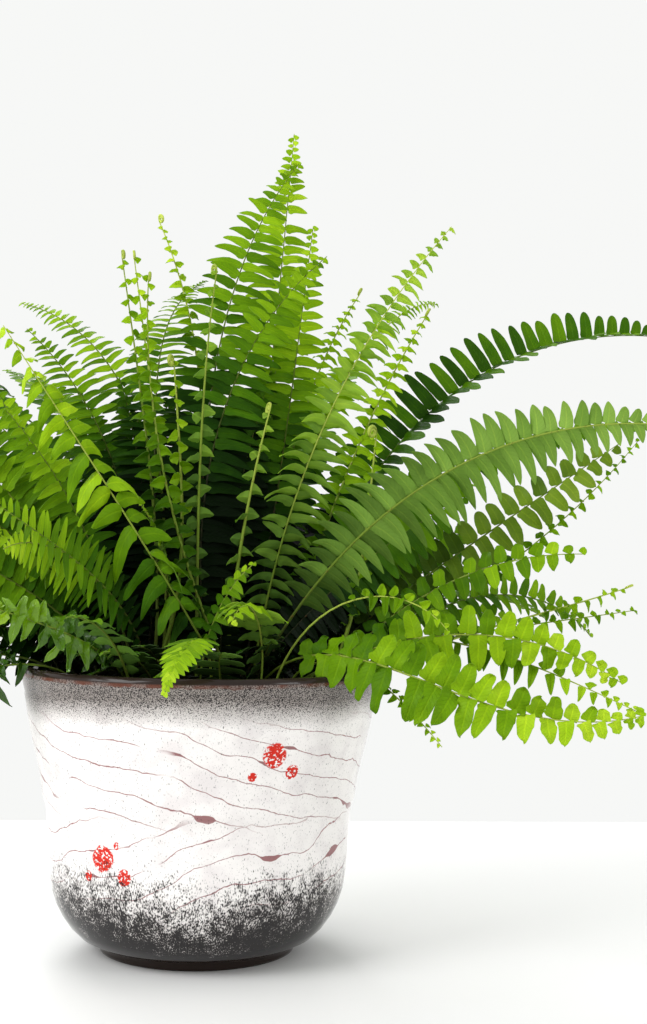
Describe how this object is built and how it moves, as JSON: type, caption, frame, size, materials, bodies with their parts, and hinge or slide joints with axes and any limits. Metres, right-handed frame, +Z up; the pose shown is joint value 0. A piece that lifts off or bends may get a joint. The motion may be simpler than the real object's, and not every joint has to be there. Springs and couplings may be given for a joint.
{
  "type": "potted boston fern",
  "caption": "Boston fern with upright, arching and drooping fronds, growing in potting mix in a round glazed ceramic planter.",
  "frame": {"origin": "centre of the underside of the pot's foot, on the surface that it stands on", "axes": "+Z up along the pot's axis, -Y towards the viewer, +X to the viewer's right"},
  "size_m": [0.6703, 0.4712, 0.5719],
  "materials": {
    "glaze": "glossy reactive glaze, white body with dusty oxblood veins, red drops and a speckled charcoal foot and rim",
    "potting_mix": "loose dark peat and bark crumbs, matt",
    "mature_leaf": "smooth mid to dark green, satin, slightly translucent",
    "young_leaf": "thin light yellow-green, satin, translucent"
  },
  "bodies": {
    "root": {"pot": "glaze", "soil": "potting_mix", "frond_tall_back": "mature_leaf", "frond_tall_left": "mature_leaf", "frond_tall_front": "mature_leaf", "frond_tall_right": "mature_leaf", "frond_left_middle": "mature_leaf", "frond_back_spire": "young_leaf", "frond_bright_right": "young_leaf", "frond_arching_thin": "young_leaf", "frond_curled_right": "young_leaf", "frond_curled_back": "young_leaf", "frond_long_dark_right": "mature_leaf", "frond_long_wide_right": "mature_leaf", "frond_right_middle": "mature_leaf", "frond_right_thin": "young_leaf", "frond_right_small": "young_leaf", "frond_right_arc": "mature_leaf", "frond_right_low": "mature_leaf", "frond_right_front_low": "mature_leaf", "frond_right_lowest": "young_leaf", "frond_right_front_wisp": "young_leaf", "frond_left_front_long": "mature_leaf", "frond_left_dark": "mature_leaf", "frond_left_back_thin": "mature_leaf", "frond_left_broad": "mature_leaf", "frond_left_leaning": "mature_leaf", "frond_left_low": "mature_leaf", "frond_left_front_fine": "mature_leaf", "frond_left_front_low": "mature_leaf", "frond_left_upright": "young_leaf", "frond_left_slender": "young_leaf", "frond_front_slender": "young_leaf", "frond_front_crozier": "young_leaf", "frond_centre_crozier": "young_leaf", "frond_right_crozier": "young_leaf", "frond_front_drooping": "young_leaf", "frond_front_small_right": "young_leaf", "frond_front_small_left": "young_leaf", "frond_front_small_centre": "young_leaf", "frond_upper_1": "mature_leaf", "frond_upper_2": "mature_leaf", "frond_upper_3": "mature_leaf", "frond_upper_4": "mature_leaf", "frond_middle_1": "mature_leaf", "frond_middle_2": "mature_leaf", "frond_middle_3": "mature_leaf", "frond_middle_4": "mature_leaf", "frond_middle_5": "mature_leaf", "frond_middle_6": "mature_leaf", "frond_lower_1": "mature_leaf", "frond_lower_2": "mature_leaf", "frond_lower_3": "mature_leaf", "frond_lower_4": "mature_leaf", "frond_lower_5": "mature_leaf", "frond_lower_6": "mature_leaf", "frond_lower_7": "mature_leaf", "frond_skirt_1": "mature_leaf", "frond_skirt_2": "mature_leaf"}
  },
  "joints": []
}
